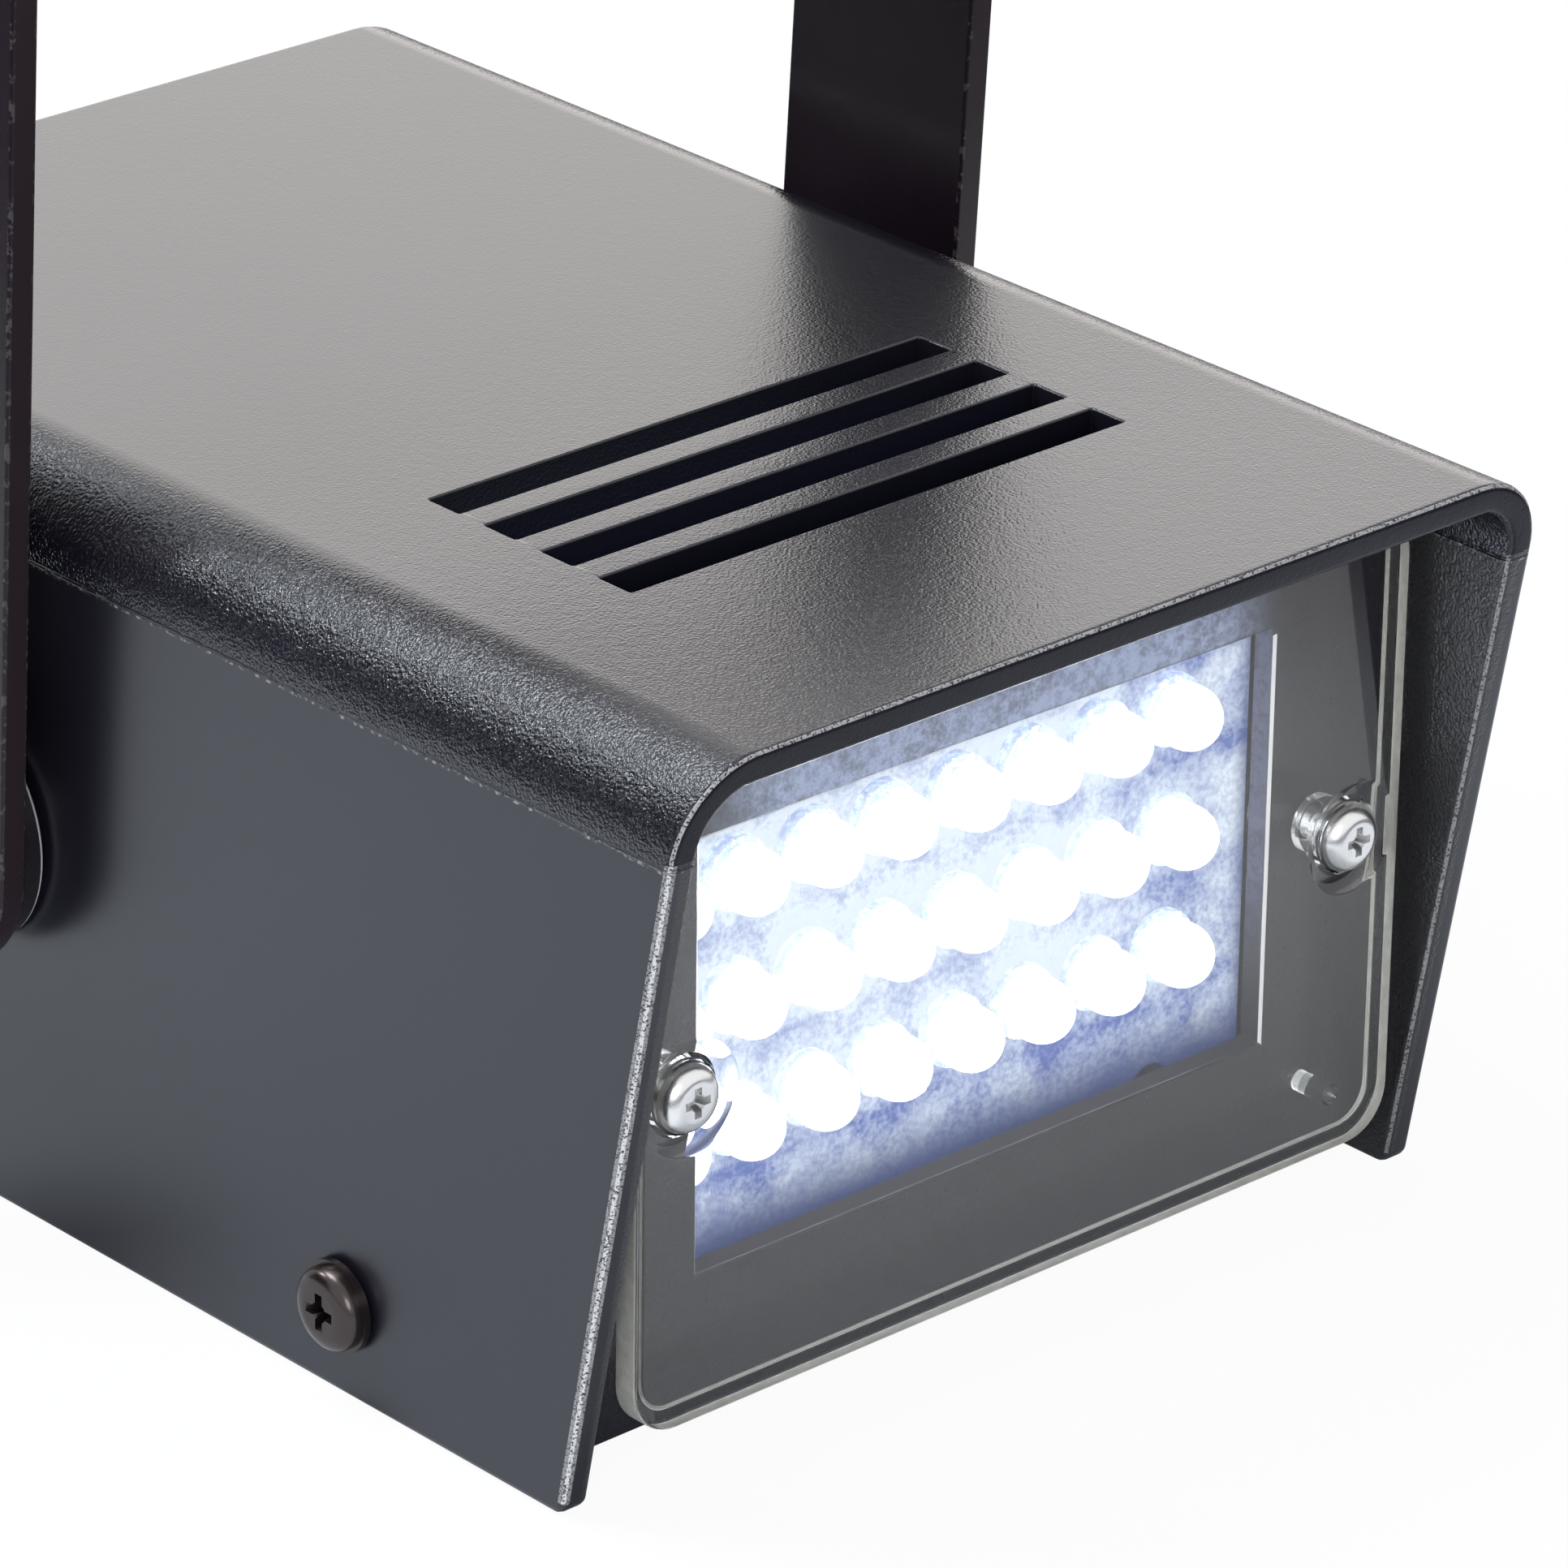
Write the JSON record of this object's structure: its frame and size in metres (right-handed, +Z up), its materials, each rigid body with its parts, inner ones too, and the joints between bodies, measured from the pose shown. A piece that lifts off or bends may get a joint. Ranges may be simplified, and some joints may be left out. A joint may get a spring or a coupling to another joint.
{
  "type": "strobe light",
  "caption": "Small LED strobe light: vented plastic case with a raked hood and clear lens, rear rate knob, and a tilting steel U bracket with thumb screws.",
  "frame": {"origin": "on the ground under the middle of the whole strobe light: midway between the case's sides, and midway between the hood's front lip and the back of the rate knob", "axes": "+Z up, +Y to the rear, where the knob and cord inlet are, -Y where the lens faces, +X to the right seen from the lens side"},
  "size_m": [0.116, 0.1388, 0.1065],
  "materials": {
    "case_plastic": "fine spark-eroded grain",
    "chassis_plastic": "fine satin",
    "clear_plastic": "clear polished",
    "bright_steel": "bright plated",
    "black_steel": "black oxide, oiled",
    "zinc_steel": "zinc plated",
    "white_board": "white solder mask",
    "green_board": "green solder mask",
    "led_resin": "clear resin, lit white",
    "fuse_glass": "clear tube with plated caps",
    "film_plastic": "dipped red",
    "black_moulding": "satin black",
    "capacitor_sleeve": "shrink sleeve",
    "resistor_body": "cement coat",
    "white_plastic": "nylon",
    "lead_sleeve": "soft sleeve",
    "black_rubber": "smooth matt",
    "black_paint": "semi-gloss black"
  },
  "bodies": {
    "case": {"top_cover": "case_plastic", "base_chassis": "chassis_plastic", "lens_cover": "clear_plastic", "lens_screw_left": "bright_steel", "lens_screw_right": "bright_steel", "cover_screw_front_left": "black_steel", "cover_screw_front_right": "black_steel", "cover_screw_rear_left": "black_steel", "cover_screw_rear_right": "black_steel", "led_board": "white_board", "led_row1_col1": "led_resin", "led_row1_col2": "led_resin", "led_row1_col3": "led_resin", "led_row1_col4": "led_resin", "led_row1_col5": "led_resin", "led_row1_col6": "led_resin", "led_row1_col7": "led_resin", "led_row1_col8": "led_resin", "led_row2_col1": "led_resin", "led_row2_col2": "led_resin", "led_row2_col3": "led_resin", "led_row2_col4": "led_resin", "led_row2_col5": "led_resin", "led_row2_col6": "led_resin", "led_row2_col7": "led_resin", "led_row2_col8": "led_resin", "led_row3_col1": "led_resin", "led_row3_col2": "led_resin", "led_row3_col3": "led_resin", "led_row3_col4": "led_resin", "led_row3_col5": "led_resin", "led_row3_col6": "led_resin", "led_row3_col7": "led_resin", "led_row3_col8": "led_resin", "led_board_screw_left": "zinc_steel", "led_board_screw_right": "zinc_steel", "driver_board": "green_board", "driver_board_screw_left": "zinc_steel", "driver_board_screw_right": "zinc_steel", "fuse": "fuse_glass", "dropper_capacitor": "film_plastic", "bridge_rectifier": "black_moulding", "filter_capacitor": "capacitor_sleeve", "power_resistor": "resistor_body", "timer_chip": "black_moulding", "switching_transistor": "black_moulding", "lead_connector": "white_plastic", "led_lead": "lead_sleeve", "speed_potentiometer": "zinc_steel", "potentiometer_nut": "zinc_steel", "inlet_grommet": "black_rubber", "bracket_spacer_left": "black_rubber", "bracket_spacer_right": "black_rubber", "captive_nut_left": "zinc_steel", "captive_nut_right": "zinc_steel"},
    "bracket": {"bracket": "black_paint"},
    "rate_control": {"speed_knob": "black_moulding", "potentiometer_shaft": "white_plastic"},
    "thumb_screw_left": {"thumb_screw_left": "black_moulding"},
    "thumb_screw_right": {"thumb_screw_right": "black_moulding"}
  },
  "joints": [
    {"name": "bracket_tilt", "type": "hinge", "parent": "case", "child": "bracket", "pos_m": [0, 0.00895, 0.03075], "axis": [1, 0, 0], "range_deg": [-235, 50]},
    {"name": "rate_turn", "type": "hinge", "parent": "case", "child": "rate_control", "pos_m": [0.016, 0.05635, 0.034], "axis": [0, 1, 0], "range_deg": [-150, 150]},
    {"name": "thumb_screw_left_turn", "type": "hinge", "parent": "case", "child": "thumb_screw_left", "pos_m": [-0.0477, 0.00895, 0.03075], "axis": [-1, 0, 0], "range_deg": [0, 450]},
    {"name": "thumb_screw_right_turn", "type": "hinge", "parent": "case", "child": "thumb_screw_right", "pos_m": [0.0477, 0.00895, 0.03075], "axis": [1, 0, 0], "range_deg": [0, 450]}
  ]
}
